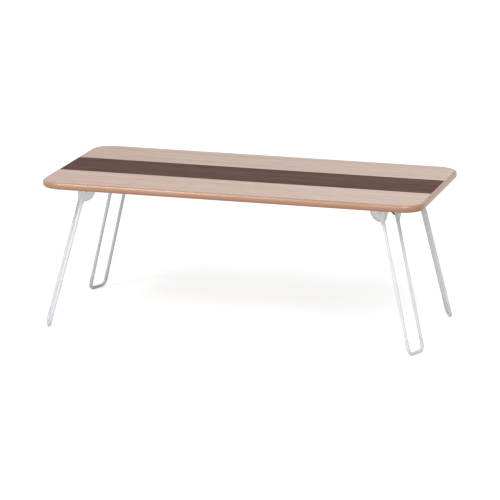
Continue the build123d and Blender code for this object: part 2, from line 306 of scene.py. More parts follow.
class Surface(NodeSheet):
    """One material's tree: a principled shader, and the patterns that feed it."""

    def __init__(self, name: str) -> None:
        """Start an empty material.

        Args:
            name: The material's name.
        """
        self.material = bpy.data.materials.new(name)
        self.material.use_nodes = True
        super().__init__(self.material.node_tree)
        self.tree.nodes.clear()
        self.shader = self.node("ShaderNodeBsdfPrincipled")
        self.end = self.node("ShaderNodeOutputMaterial", None, {0: self.shader.outputs[0]})

    def here(self) -> Socket:
        """The point on the piece, in metres."""
        return self.out("ShaderNodeTexCoord", output="Object")

    def noise(self, pattern: Pattern, point: Socket, start: Triple = (0.0, 0.0, 0.0)) -> Field:
        """Read a soft random pattern.

        Args:
            pattern: The pattern.
            point: Where it is read, in metres.
            start: What is added once the point is scaled, so that two finishes differ.

        Returns:
            A field around MIDDLE.
        """
        settings = {"operation": "MULTIPLY_ADD"}
        place = self.out("ShaderNodeVectorMath", settings, {0: point, 1: pattern.fine, 2: start})
        sockets = {
            "Vector": place,
            "Scale": 1.0,
            "Detail": pattern.layers,
            "Roughness": pattern.layer_strength,
        }
        return self.field("ShaderNodeTexNoise", None, sockets)

    def mix(self, share: Any, first: Any, second: Any) -> Socket:
        """Mix two colours.

        Args:
            share: How much of the second, from 0 to 1.
            first: A colour or a link.
            second: A colour or a link.

        Returns:
            The mixed colour.
        """
        settings = {"data_type": "RGBA"}
        sockets = {"Factor_Float": share, "A_Color": first, "B_Color": second}
        return self.out("ShaderNodeMix", settings, sockets, "Result_Color")

    def normal(self, height: Field, relief: Relief) -> Socket:
        """The normal of a surface with a relief that follows the height."""
        sockets = {"Height": height, "Distance": relief.depth, "Strength": relief.strength}
        return self.out("ShaderNodeBump", None, sockets)

    def dress(self, sockets: Mapping[str, Any]) -> bpy.types.Material:
        """Finish the material.

        Args:
            sockets: A value or a link for each of the shader's inputs that is not left alone.

        Returns:
            The material.
        """
        for key, value in sockets.items():
            self.plug(self.shader.inputs[key], value)
        return self.material


class Finish:
    """A finish that is made once and shared by every piece that has it."""

    name: str

    def paint(self, surface: Surface) -> bpy.types.Material:
        """Fill the material's tree; each finish has its own way."""
        raise NotImplementedError

    def material(self) -> bpy.types.Material:
        """The finish's material, made the first time that it is asked for."""
        known = bpy.data.materials.get(self.name)
        return known or self.paint(Surface(self.name))


@dataclass(frozen=True)
class WoodFilm(Finish):
    """Printed wood-grain film under a satin lacquer, with its grain along the board.

    The colour is painted paler towards the board's right end, a share of the mix per metre: a
    painted gradient of light that stands in for the lamps' falloff. A film's shift reads the
    random patterns elsewhere, so that two films differ.
    """

    name: str
    pale: Colour
    deep: Colour
    pore: Colour
    streak_strength: float
    pore_strength: float
    specular: float
    # Painted light: how far the film is painted paler per metre towards the right end.
    painted_shading_drift: float
    shift: float
    roughness: float = 0.50
    wander_reach: float = 26 * MM
    ring_waves: float = 60.0
    ring_sharpness: float = 2.0
    line_relief: float = 0.4
    wander: Pattern = Pattern((1.7, 3.0, 1.0))
    broad: Pattern = Pattern((0.9, 62, 1.0), layers=3.0, layer_strength=0.55, show=0.8)
    lines: Pattern = Pattern((3.2, 330, 1.0), layers=3.0, layer_strength=0.6, show=1.9, dull=0.10)
    rings: Pattern = Pattern((0.35, 21, 1.0), layers=1.0, show=0.18)
    dashes: Pattern = Pattern((42, 1500, 1.0), layers=1.0, edge=(0.60, 0.74), dull=0.12)
    clouds: Pattern = Pattern((4.0, 9.0, 1.0), show=0.2)
    flecks: Pattern = Pattern((26, 130, 1.0), show=0.75)
    relief: Relief = Relief(0.035 * MM, 0.6)

    def paint(self, surface: Surface) -> bpy.types.Material:
        """Wavy streaks, fine lines, flecks and short pores, all drawn out along X.

        Args:
            surface: The empty material.

        Returns:
            The finished material.
        """
        here = surface.here()
        x, y, z = surface.parts(here)
        wander = surface.noise(self.wander, here, (0.0, self.shift, 0.0))
        bent = surface.vector(x, y + wander.swing(self.wander_reach), z)
        shifted = (self.shift, 0.0, 0.0)
        broad = surface.noise(self.broad, bent, shifted)
        lines = surface.noise(self.lines, bent)
        wave = (surface.noise(self.rings, bent, shifted) * self.ring_waves).math("SINE")
        rings = (wave * MIDDLE + MIDDLE) ** self.ring_sharpness
        dashes = surface.noise(self.dashes, bent).rise(*self.dashes.edge)
        clouds = surface.noise(self.clouds, here)
        flecks = surface.noise(self.flecks, bent)
        streaks = broad.swing(self.broad.show) + lines.swing(self.lines.show)
        streaks = streaks + rings.swing(self.rings.show) + flecks.swing(self.flecks.show)
        share = streaks * self.streak_strength + MIDDLE
        # Painted light: the share drops towards the right end, so the film is painted paler there.
        share = share + clouds.swing(self.clouds.show) - x * self.painted_shading_drift
        body = surface.mix(share, self.pale, self.deep)
        dulled = lines.swing(self.lines.dull)
        return surface.dress(
            {
                "Base Color": surface.mix(dashes * self.pore_strength, body, self.pore),
                "Roughness": self.roughness + dulled + dashes * self.dashes.dull,
                "Normal": surface.normal(lines * self.line_relief - dashes, self.relief),
                "Specular IOR Level": self.specular,
            }
        )


@dataclass(frozen=True)
class EdgeVinyl(Finish):
    """Wood-tone vinyl edging, satin, with faint lines along it, and a painted highlight: its
    colour is painted paler up the rounded top, for the light and sheen that fall there.

    Its print is read from the strip's own measures: along, round the board, and around, round
    the strip's section. Its colour is also painted darker along the board towards its right end,
    a painted shade for the sheen that fades there.
    """

    name: str = "edge_vinyl"
    body: Colour = tone(165, 118, 85)
    # Painted highlight: the paler colour painted up the strip's rounded top, for the light and
    # sheen there.
    pale: Colour = tone(192, 150, 120)
    deep: Colour = tone(142, 88, 56)
    glue: Colour = tone(104, 74, 56)
    roughness: float = 0.29
    specular: float = 0.95
    # Painted highlight: where, round the section, the paler painted top begins and where it is
    # full.
    painted_light_from: float = 15 * MM
    painted_light_to: float = 27 * MM
    # Painted shade: how far the colour is painted darker per metre along the board, and where that
    # begins.
    painted_shading_drift: float = 0.42
    painted_shading_start: float = -300 * MM
    joint_at: float = 28.86 * MM
    joint_width: float = 0.5 * MM
    joint_show: float = 0.18
    joint_dull: float = 0.3
    line_middle: float = 0.36
    wander_reach: float = 2.2 * MM
    wander: Pattern = Pattern((3.0, 20, 1.0), layers=1.0)
    lines: Pattern = Pattern((5.0, 900, 1.0), layers=3.0, layer_strength=0.6, show=1.0, dull=0.14)
    clouds: Pattern = Pattern((9.0, 60, 1.0), show=0.6)
    dashes: Pattern = Pattern((60, 2600, 1.0), layers=1.0, edge=(0.62, 0.74), show=0.35)
    relief: Relief = Relief(0.03 * MM, 0.5)

    def paint(self, surface: Surface) -> bpy.types.Material:
        """Lines that follow the strip round the corners, and the joint between film and strip.

        Args:
            surface: The empty material.

        Returns:
            The finished material.
        """
        settings = {"attribute_name": "strip"}
        strip = surface.out("ShaderNodeAttribute", settings, output="Vector")
        along, around, _ = surface.parts(strip)
        x, _, _ = surface.parts(surface.here())
        wander = surface.noise(self.wander, strip)
        bent = surface.vector(along, around + wander.swing(self.wander_reach))
        lines = surface.noise(self.lines, bent)
        clouds = surface.noise(self.clouds, strip)
        dashes = surface.noise(self.dashes, bent).rise(*self.dashes.edge)
        share = lines.swing(self.lines.show, self.line_middle) + clouds.swing(self.clouds.show)
        # Painted shade: the colour is painted darker and deeper towards the right end.
        share = share + x.swing(self.painted_shading_drift, self.painted_shading_start)
        # Painted light: the colour is mixed paler up the rounded top and darker down the face, as
        # light and shade fall.
        painted_light_body = surface.mix(around.rise(self.painted_light_from, self.painted_light_to), self.body, self.pale)
        colour = surface.mix(share, painted_light_body, self.deep)
        colour = surface.mix(dashes * self.dashes.show, colour, self.deep)
        joint = 1.0 - (around - self.joint_at).size().rise(0.0, self.joint_width)
        dulled = lines.swing(self.lines.dull) + joint * self.joint_dull
        return surface.dress(
            {
                "Base Color": surface.mix(joint * self.joint_show, colour, self.glue),
                "Roughness": self.roughness + dulled,
                "Specular IOR Level": self.specular,
                "Normal": surface.normal(lines - dashes, self.relief),
            }
        )


@dataclass(frozen=True)
class PowderCoat(Finish):
    """White powder coat on steel: an even colour with a fine orange-peel face."""

    name: str = "white_powder_coat"
    body: Colour = tone(242, 243, 244)
    dust: Colour = tone(221, 221, 220)
    roughness: float = 0.40
    cloud_middle: float = 0.42
    peel: Pattern = Pattern(even(900), layer_strength=0.45, dull=0.08)
    clouds: Pattern = Pattern(even(28), layers=3.0, show=0.5, dull=0.12)
    specks: Pattern = Pattern(even(1500), layers=1.0, edge=(0.76, 0.80), show=0.5)
    relief: Relief = Relief(0.045 * MM, 0.55)

    def paint(self, surface: Surface) -> bpy.types.Material:
        """Orange peel, faint clouding and a few specks of dust under the coat.

        Args:
            surface: The empty material.

        Returns:
            The finished material.
        """
        point = surface.here()
        peel = surface.noise(self.peel, point)
        clouds = surface.noise(self.clouds, point)
        specks = surface.noise(self.specks, point).rise(*self.specks.edge)
        share = clouds.swing(self.clouds.show, self.cloud_middle) + specks * self.specks.show
        dulled = self.roughness + clouds.swing(self.clouds.dull) + peel.swing(self.peel.dull)
        return surface.dress(
            {
                "Base Color": surface.mix(share, self.body, self.dust),
                "Roughness": dulled,
                "Normal": surface.normal(peel, self.relief),
            }
        )


@dataclass(frozen=True)
class MouldedNylon(Finish):
    """Black moulded nylon with a matt spark texture, rubbed smoother where the rod slides."""

    name: str = "black_nylon_liner"
    body: Colour = tone(34, 34, 36)
    worn: Colour = tone(58, 58, 60)
    roughness: float = 0.62
    spark: Pattern = Pattern(even(1600), show=0.3)
    rubs: Pattern = Pattern((60, 60, 190), layers=3.0, edge=(0.52, 0.72), show=0.6, dull=-0.2)
    relief: Relief = Relief(0.05 * MM, 0.7)

    def paint(self, surface: Surface) -> bpy.types.Material:
        """Spark texture with scattered rub marks.

        Args:
            surface: The empty material.

        Returns:
            The finished material.
        """
        point = surface.here()
        spark = surface.noise(self.spark, point)
        rubs = surface.noise(self.rubs, point).rise(*self.rubs.edge)
        share = rubs * self.rubs.show + spark.swing(self.spark.show)
        return surface.dress(
            {
                "Base Color": surface.mix(share, self.body, self.worn),
                "Roughness": self.roughness + rubs * self.rubs.dull,
                "Normal": surface.normal(spark, self.relief),
            }
        )


@dataclass(frozen=True)
class ZincSteel(Finish):
    """Zinc-plated steel, finely tumbled, with a faint warm passivation."""

    name: str = "zinc_plated_steel"
    body: Colour = tone(186, 186, 190)
    warm: Colour = tone(174, 170, 164)
    roughness: float = 0.34
    dent_relief: float = 0.7
    scratch_relief: float = 0.3
    dents: Pattern = Pattern(even(700), layers=3.0, layer_strength=0.6)
    clouds: Pattern = Pattern(even(160), edge=(0.35, 0.7), dull=0.2)
    scratches: Pattern = Pattern((240, 2100, 900), dull=0.16)
    relief: Relief = Relief(0.04 * MM, 0.5)

    def paint(self, surface: Surface) -> bpy.types.Material:
        """Tumbling dents, clouded plating and fine scratches.

        Args:
            surface: The empty material.

        Returns:
            The finished material.
        """
        point = surface.here()
        dents = surface.noise(self.dents, point)
        clouds = surface.noise(self.clouds, point)
        scratches = surface.noise(self.scratches, point)
        dulled = clouds.swing(self.clouds.dull) + scratches.swing(self.scratches.dull)
        height = dents * self.dent_relief + scratches * self.scratch_relief
        return surface.dress(
            {
                "Base Color": surface.mix(clouds.rise(*self.clouds.edge), self.body, self.warm),
                "Metallic": 1.0,
                "Roughness": self.roughness + dulled,
                "Normal": surface.normal(height, self.relief),
            }
        )


@dataclass(frozen=True)
class ClearVinyl(Finish):
    """Clear vinyl tube with a blue cast, cloudy enough to show against a white rod."""

    name: str = "clear_blue_vinyl"
    body: Colour = tone(228, 236, 255)
    thick: Colour = tone(202, 217, 252)
    alpha: float = 0.085
    alpha_swing: float = 0.05
    roughness: float = 0.16
    clouds: Pattern = Pattern(even(120), edge=(0.3, 0.7), dull=0.12)
    ripples: Pattern = Pattern((210, 210, 60))
    relief: Relief = Relief(0.12 * MM, 0.5)

    def paint(self, surface: Surface) -> bpy.types.Material:
        """Flow clouds in a see-through skin with a glossy face.

        Args:
            surface: The empty material.

        Returns:
            The finished material.
        """
        point = surface.here()
        clouds = surface.noise(self.clouds, point)
        ripples = surface.noise(self.ripples, point)
        return surface.dress(
            {
                "Base Color": surface.mix(clouds.rise(*self.clouds.edge), self.body, self.thick),
                "Alpha": self.alpha + clouds.swing(self.alpha_swing),
                "Roughness": self.roughness + clouds * self.clouds.dull,
                "Normal": surface.normal(ripples, self.relief),
            }
        )


@dataclass(frozen=True)
class BackingPaper(Finish):
    """Plain balancing paper on the underside, matt, with scattered fibres."""

    name: str = "backing_paper"
    body: Colour = tone(214, 203, 187)
    fibre: Colour = tone(184, 168, 146)
    least_fibre: float = 0.1
    roughness: float = 0.78
    fibres: Pattern = Pattern(
        (260, 1500, 260), layers=3.0, layer_strength=0.6, edge=(0.42, 0.74), show=0.5, dull=0.1
    )
    clouds: Pattern = Pattern((5, 14, 5), layers=3.0, show=0.25)
    relief: Relief = Relief(0.03 * MM, 0.6)

    def paint(self, surface: Surface) -> bpy.types.Material:
        """Fibres drawn out along the board over a clouded paper.

        Args:
            surface: The empty material.

        Returns:
            The finished material.
        """
        point = surface.here()
        fibres = surface.noise(self.fibres, point)
        clouds = surface.noise(self.clouds, point)
        share = fibres.rise(*self.fibres.edge) * self.fibres.show
        share = share + clouds.swing(self.clouds.show) + self.least_fibre
        return surface.dress(
            {
                "Base Color": surface.mix(share, self.body, self.fibre),
                "Roughness": self.roughness + fibres.swing(self.fibres.dull),
                "Normal": surface.normal(fibres, self.relief),
            }
        )


@dataclass(frozen=True)
class Fibreboard(Finish):
    """Raw medium-density fibreboard, seen only round the screws."""

    name: str = "raw_fibreboard"
    body: Colour = tone(176, 140, 102)
    chip: Colour = tone(134, 98, 64)
    roughness: float = 0.86
    fibres: Pattern = Pattern(
        (500, 500, 1400), layers=3.0, layer_strength=0.7, edge=(0.35, 0.7), dull=0.1
    )
    relief: Relief = Relief(0.08 * MM, 0.8)

    def paint(self, surface: Surface) -> bpy.types.Material:
        """Short pressed fibres in two browns.

        Args:
            surface: The empty material.

        Returns:
            The finished material.
        """
        fibres = surface.noise(self.fibres, surface.here())
        return surface.dress(
            {
                "Base Color": surface.mix(fibres.rise(*self.fibres.edge), self.body, self.chip),
                "Roughness": self.roughness + fibres.swing(self.fibres.dull),
                "Normal": surface.normal(fibres, self.relief),
            }
        )


LIGHT_FILM = WoodFilm(
    name="light_wood_film",
    pale=tone(221, 199, 187),
    deep=tone(198, 172, 158),
    pore=tone(166, 137, 119),
    streak_strength=0.95,
    pore_strength=0.5,
    specular=0.08,
    painted_shading_drift=0.47,
    shift=0.0,
)
DARK_FILM = WoodFilm(
    name="dark_wood_film",
    pale=tone(105, 79, 68),
    deep=tone(74, 51, 44),
    pore=tone(46, 32, 27),
    streak_strength=1.25,
    pore_strength=0.6,
    specular=0.02,
    painted_shading_drift=0.25,
    shift=7.3,
)
# Painted shade: a greyer copy of the white powder coat, which dims the legs against the brackets.
SHADED_LEG_COAT = PowderCoat(name="shaded_leg_powder_coat", body=tone(231, 232, 232), dust=tone(209, 210, 209))


class Slot(Enum):
    """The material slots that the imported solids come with."""

    BOARD_CORE = "board_core"
    BACKING = "backing"
    LIGHT_LAMINATE = "light_laminate"
    DARK_LAMINATE = "dark_laminate"
    EDGE_BAND = "edge_band"
    WHITE_STEEL = "white_steel"
    BLACK_NYLON = "black_nylon"
    RIVET_STEEL = "rivet_steel"
    SCREW_STEEL = "screw_steel"
    CLEAR_VINYL = "clear_vinyl"


FINISHES: dict[Slot, Finish] = {
    Slot.BOARD_CORE: Fibreboard(),
    Slot.BACKING: BackingPaper(),
    Slot.LIGHT_LAMINATE: LIGHT_FILM,
    Slot.DARK_LAMINATE: DARK_FILM,
    Slot.EDGE_BAND: EdgeVinyl(),
    Slot.WHITE_STEEL: PowderCoat(),
    Slot.BLACK_NYLON: MouldedNylon(),
    Slot.RIVET_STEEL: ZincSteel(),
    Slot.SCREW_STEEL: ZincSteel(),
    Slot.CLEAR_VINYL: ClearVinyl(),
}


# ---------------------------------------------------------------- shapes made by node trees


class ShapeTree(NodeSheet):
    """A geometry tree with named sizes, which ends in one real mesh with its material."""

    MERGE = 0.0002 * MM
    GRID_SIDE = 1.0

    def __init__(self, name: str, sizes: Mapping[str, float], counts: Mapping[str, int]) -> None:
        """Start a tree.

        Args:
            name: The tree's name.
            sizes: Its lengths in metres, by name.
            counts: Its whole numbers, by name.
        """
        super().__init__(bpy.data.node_groups.new(name, "GeometryNodeTree"))
        face = self.tree.interface
        face.new_socket("Geometry", in_out="INPUT", socket_type="NodeSocketGeometry")
        for size in sizes:
            face.new_socket(size, in_out="INPUT", socket_type="NodeSocketFloat")
        for count in counts:
            face.new_socket(count, in_out="INPUT", socket_type="NodeSocketInt")
        face.new_socket("Material", in_out="INPUT", socket_type="NodeSocketMaterial")
        face.new_socket("Geometry", in_out="OUTPUT", socket_type="NodeSocketGeometry")
        self.values: dict[str, Any] = {**sizes, **counts}
        self.given = self.node("NodeGroupInput")

    def size(self, name: str) -> Field:
        """One of the tree's named inputs."""
        return Field(self, self.given.outputs[name])

    def here(self) -> Socket:
        """Each point's own place."""
        return self.out("GeometryNodeInputPosition")

    def travelled(self) -> Socket:
        """How far along its line a point lies."""
        return self.out("GeometryNodeSplineParameter", output="Length")

    def named(self, name: str, kind: str) -> Socket:
        """A value of the given data type that is kept on the points under a name."""
        return self.out("GeometryNodeInputNamedAttribute", {"data_type": kind}, {"Name": name})

    def wrapped(self, geometry: Socket, name: str, kind: str, value: Any) -> Socket:
        """Keep a value on each point of a geometry.

        Args:
            geometry: The geometry.
            name: The name that the value is kept under.
            kind: The value's data type.
            value: The value.

        Returns:
            The geometry with its value.
        """
        settings = {"data_type": kind, "domain": "POINT"}
        sockets = {"Geometry": geometry, "Name": name, "Value": value}
        return self.out("GeometryNodeStoreNamedAttribute", settings, sockets)

    def merged(self, geometry: Socket) -> Socket:
        """A mesh with the points that lie on each other made one."""
        sockets = {"Geometry": geometry, "Distance": self.MERGE}
        return self.out("GeometryNodeMergeByDistance", None, sockets)

    def points(self, places: Sequence[tuple[Any, Any]]) -> Socket:
        """Draw a line of straight runs through points.

        Args:
            places: Each point's X and Y, numbers or fields.

        Returns:
            The line.
        """
        line = self.out("GeometryNodeMeshLine", None, {"Count": len(places)})
        spots: dict[str | int, Any] = {"Index": self.out("GeometryNodeInputIndex")}
        for number, (x, y) in enumerate(places, 1):
            spots[number] = self.vector(x, y)
        settings = {"data_type": "VECTOR", "items": len(places)}
        place = self.out("GeometryNodeIndexSwitch", settings, spots)
        moved = self.out("GeometryNodeSetPosition", None, {"Geometry": line, "Position": place})
        return self.out("GeometryNodeMeshToCurve", None, {0: moved})

    def rounded(self, line: Socket, radius: Any, count: Any) -> Socket:
        """A line with its corners rounded by the given number of short runs."""
        sockets = {"Curve": line, "Count": count, "Radius": radius}
        return self.out("GeometryNodeFilletCurve", {"mode": "POLY"}, sockets)

    def grid(self, around: str, rows: Any) -> tuple[Socket, Field, Field]:
        """A flat grid that is to be wrapped round an axis.

        Args:
            around: The name of the input that gives its steps round the axis.
            rows: Its rows along the axis.

        Returns:
            The grid, the turn of each point in radians and its share of the way along.
        """
        sockets = {
            "Size X": self.GRID_SIDE,
            "Size Y": self.GRID_SIDE,
            "Vertices X": self.size(around) + 1.0,
            "Vertices Y": rows,
        }
        made = self.out("GeometryNodeMeshGrid", None, sockets)
        x, y, _ = self.parts(self.here())
        half = self.GRID_SIDE / 2
        return made, (x + half) * math.tau, y + half

    def turned(self, grid: Socket, turn: Field, radius: Any, height: Any) -> Socket:
        """Wrap a grid to a body of revolution, with its seam and poles closed.

        Args:
            grid: The grid.
            turn: Each point's angle round the Z axis.
            radius: Each point's distance from the Z axis.
            height: Each point's Z.

        Returns:
            The closed body.
        """
        place = self.vector(turn.math("COSINE") * radius, turn.math("SINE") * radius, height)
        sockets = {"Geometry": grid, "Position": place}
        return self.merged(self.out("GeometryNodeSetPosition", None, sockets))

    def lathe(self, profile: Socket, around: str) -> Socket:
        """Turn a profile round the Z axis.

        Args:
            profile: A line whose X is the radius and whose Y is the height.
            around: The name of the input that gives the steps round the axis.

        Returns:
            The closed body.
        """
        settings: dict[str, Any] = {"component": "CURVE"}
        sockets: dict[str | int, Any] = {0: profile}
        total = self.field("GeometryNodeAttributeDomainSize", settings, sockets, "Point Count")
        grid, turn, share = self.grid(around, total)
        number = (share * (total - 1.0)).math("ROUND")
        settings = {"data_type": "FLOAT_VECTOR", "domain": "POINT"}
        sockets = {"Geometry": profile, "Value": self.here(), "Index": number}
        radius, height, _ = self.parts(self.out("GeometryNodeSampleIndex", settings, sockets))
        return self.turned(grid, turn, radius, height)

    def cut(self, body: Socket, tools: list[Socket]) -> Socket:
        """A body with tools cut out of it."""
        settings = {"operation": "DIFFERENCE", "solver": "EXACT"}
        return self.out("GeometryNodeMeshBoolean", settings, {"Mesh 1": body, "Mesh 2": tools})

    def joined(self, bodies: list[Socket]) -> Socket:
        """Closed bodies fused to one."""
        settings = {"operation": "UNION", "solver": "EXACT"}
        return self.out("GeometryNodeMeshBoolean", settings, {"Mesh 2": bodies})

    def at_seats(self, piece: Socket, seed: int | None = None) -> Socket:
        """A piece at each point of the given mesh, with its Z along the point's own facing.

        Args:
            piece: What is repeated.
            seed: Where given, each copy is turned about its own axis by a random angle.

        Returns:
            The copies.
        """
        sockets: dict[str | int, Any] = {"Vector": self.named("facing", "FLOAT_VECTOR")}
        stance = self.out("FunctionNodeAlignRotationToVector", {"axis": "Z"}, sockets)
        if seed is not None:
            sockets = {"Max_001": math.tau, "Seed": seed}
            settings = {"data_type": "FLOAT"}
            angle = self.out("FunctionNodeRandomValue", settings, sockets, "Value_001")
            sockets = {"Axis": (0, 0, 1), "Angle": angle}
            spin = self.out("FunctionNodeAxisAngleToRotation", None, sockets)
            settings = {"rotation_space": "LOCAL"}
            stance = self.out("FunctionNodeRotateRotation", settings, {0: stance, 1: spin})
        seats = self.given.outputs["Geometry"]
        sockets = {"Points": seats, "Instance": piece, "Rotation": stance}
        return self.out("GeometryNodeInstanceOnPoints", None, sockets)

    def close(self, geometry: Socket) -> None:
        """End the tree in real geometry with its material.

        Args:
            geometry: What the tree has made.
        """
        real = self.out("GeometryNodeRealizeInstances", None, {0: geometry})
        sockets = {"Geometry": real, "Material": self.given.outputs["Material"]}
        self.node("NodeGroupOutput", None, {0: self.out("GeometryNodeSetMaterial", None, sockets)})

    def make(
        self, name: str, seats: bpy.types.Mesh, material: bpy.types.Material
    ) -> bpy.types.Object:
        """Run the tree once and keep what it makes as a plain mesh.

        Args:
            name: The piece's name.
            seats: The mesh that the tree starts from.
            material: What the piece is finished in.

        Returns:
            The piece, with its place in its mesh.
        """
        piece = bpy.data.objects.new(name, seats)
        bpy.context.scene.collection.objects.link(piece)
        modifier = piece.modifiers.new(self.tree.name, "NODES")
        modifier.node_group = self.tree
        for item in self.tree.interface.items_tree:
            if item.in_out == "INPUT" and item.name in self.values:
                modifier[item.identifier] = self.values[item.name]
            elif item.in_out == "INPUT" and item.name == "Material":
                modifier[item.identifier] = material
        made = as_shown(piece)
        made.name = name
        made.materials.clear()
        made.materials.append(material)
        made.polygons.foreach_set("material_index", [0] * len(made.polygons))
        piece.modifiers.remove(modifier)
        piece.data = made
        return piece


def as_shown(piece: bpy.types.Object) -> bpy.types.Mesh:
    """The plain mesh that a piece's modifiers make."""
    graph = bpy.context.evaluated_depsgraph_get()
    return bpy.data.meshes.new_from_object(piece.evaluated_get(graph), depsgraph=graph)


def smooth(piece: bpy.types.Object, crease: float) -> None:
    """Shade a piece smooth, but for edges that turn by more than the crease, in degrees."""
    piece.data.shade_smooth()
    piece.data.set_sharp_from_angle(angle=math.radians(crease))


def seat_mesh(name: str, seats: Sequence[tuple[Vector, Vector]]) -> bpy.types.Mesh:
    """A mesh of loose points, each with the direction that its piece faces.

    Args:
        name: The mesh's name.
        seats: Each point and its direction.

    Returns:
        The mesh.
    """
    mesh = bpy.data.meshes.new(name)
    mesh.from_pydata([tuple(place) for place, _ in seats], [], [])
    facing = mesh.attributes.new("facing", "FLOAT_VECTOR", "POINT")
    facing.data.foreach_set("vector", [value for _, way in seats for value in way])
    return mesh


# ---------------------------------------------------------------- sub-assemblies


@dataclass(frozen=True)
class HingePlace:
    """Where one corner's hinge stands: its pivot, the way out to the corner, and its axis."""

    corner: str
    body: str
    pivot: Vector
    out: Vector
    axis: Vector

    def point(self, out: float, along: float, up: float) -> Vector:
        """A point given outwards of the pivot, along its axis and above it."""
        return self.pivot + self.out * out + self.axis * along + Vector((0, 0, up))


def hinge_places() -> list[HingePlace]:
    """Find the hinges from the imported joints.

    Returns:
        The four hinges.
    """
    places = []
    for joint in frame["joints"]:
        axis = Vector(joint["axis"]).normalized()
        places.append(
            HingePlace(
                corner=joint["name"].removesuffix(JOINT_END),
                body=joint["child"],
                pivot=Vector(joint["pos_m"]),
                out=axis.cross(Vector((0, 0, 1))),
                axis=axis,
            )
        )
    return places


@dataclass(frozen=True)
class SolidDresser:
    """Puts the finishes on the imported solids."""

    leg_start: str = "leg_"
    # Painted shade: the legs wear a darker copy of the same white coat.
    shaded_leg_coat: Finish = SHADED_LEG_COAT

    def finish(self, node: str, slot: str) -> Finish:
        """The finish of a solid's slot; the legs wear a greyer copy of the brackets' white coat, a
        painted shade.
        """
        return self.shaded_leg_coat if node.startswith(self.leg_start) else FINISHES[Slot(slot)]

    def dress(self) -> None:
        """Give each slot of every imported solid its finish."""
        for name, node in frame["nodes"].items():
            for slot in node.material_slots:
                slot.material = self.finish(name, slot.material.name).material()
                LOG.info("solid %s wears %s", name, slot.material.name)


@dataclass
class EdgeBand:
    """The vinyl strip round the board, laid on as one length with its butt joint at the rear."""

    length: float = 800 * MM
    depth: float = 400 * MM
    corner_radius: float = 45 * MM
    height: float = 15 * MM
    thickness: float = 5.5 * MM
    edge_round: float = 5.4 * MM
    top: float = 312 * MM
    butt_gap: float = 0.12 * MM
    corner_steps: int = 28
    round_steps: int = 8
    crease: float = 40

    def build(self) -> bpy.types.Object:
        """Sweep the strip's section round the board.

        Returns:
            The strip.
        """
        sizes = {
            "Length": self.length,
            "Depth": self.depth,
            "Corner Radius": self.corner_radius,
            "Height": self.height,
            "Thickness": self.thickness,
            "Edge Rounding": self.edge_round,
            "Top": self.top,
            "Butt Gap": self.butt_gap,
        }
        counts = {"Corner Steps": self.corner_steps, "Rounding Steps": self.round_steps}
        tree = ShapeTree("edge_band_sweep", sizes, counts)
        sockets = {
            "Curve": self._route(tree),
            "Profile Curve": self._section(tree),
            "Fill Caps": True,
        }
        swept = tree.out("GeometryNodeCurveToMesh", None, sockets)
        measures = [tree.named(name, "FLOAT") for name in ("along", "around")]
        swept = tree.wrapped(swept, "strip", "FLOAT_VECTOR", tree.vector(*measures))
        sockets = {"Geometry": swept, "Translation": tree.vector(0.0, 0.0, tree.size("Top"))}
        tree.close(tree.merged(tree.out("GeometryNodeTransform", None, sockets)))
        paint = FINISHES[Slot.EDGE_BAND].material()
        strip = tree.make("edge_band_strip", bpy.data.meshes.new("strip"), paint)
        smooth(strip, self.crease)
        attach(strip, BOARD_BODY)
        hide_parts("edge_band")
        return strip

    def _route(self, tree: ShapeTree) -> Socket:
        """Draw the board's outline, from one side of the butt joint round to the other.

        Args:
            tree: The strip's tree.

        Returns:
            The line, with how far along it each point lies.
        """
        right, rear = tree.size("Length") / 2.0, tree.size("Depth") / 2.0
        start = tree.size("Butt Gap") / 2.0
        left, front, end = right * -1.0, rear * -1.0, start * -1.0
        corners = [(right, rear), (right, front), (left, front), (left, rear)]
        line = tree.points([(start, rear), *corners, (end, rear)])
        line = tree.rounded(line, tree.size("Corner Radius"), tree.size("Corner Steps"))
        line = tree.wrapped(line, "along", "FLOAT", tree.travelled())
        return tree.out("GeometryNodeSetCurveNormal", {"mode": "Z_UP"}, {"Curve": line})

    def _section(self, tree: ShapeTree) -> Socket:
        """Draw the strip's section, with only its two outer corners rounded.

        Args:
            tree: The strip's tree.

        Returns:
            The closed line, with how far round it each point lies.
        """
        drop, inner = tree.size("Height"), tree.size("Thickness")
        corners = [(inner, drop), (0.0, drop), (0.0, 0.0), (inner, 0.0)]
        line = tree.points([(inner, drop / 2.0), *corners])
        line = tree.out("GeometryNodeSetSplineCyclic", None, {0: line, "Cyclic": True})
        x, _, _ = tree.parts(tree.here())
        bend = tree.size("Edge Rounding") * (1.0 - x.over(inner / 2.0))
        line = tree.rounded(line, bend, tree.size("Rounding Steps"))
        return tree.wrapped(line, "around", "FLOAT", tree.travelled())


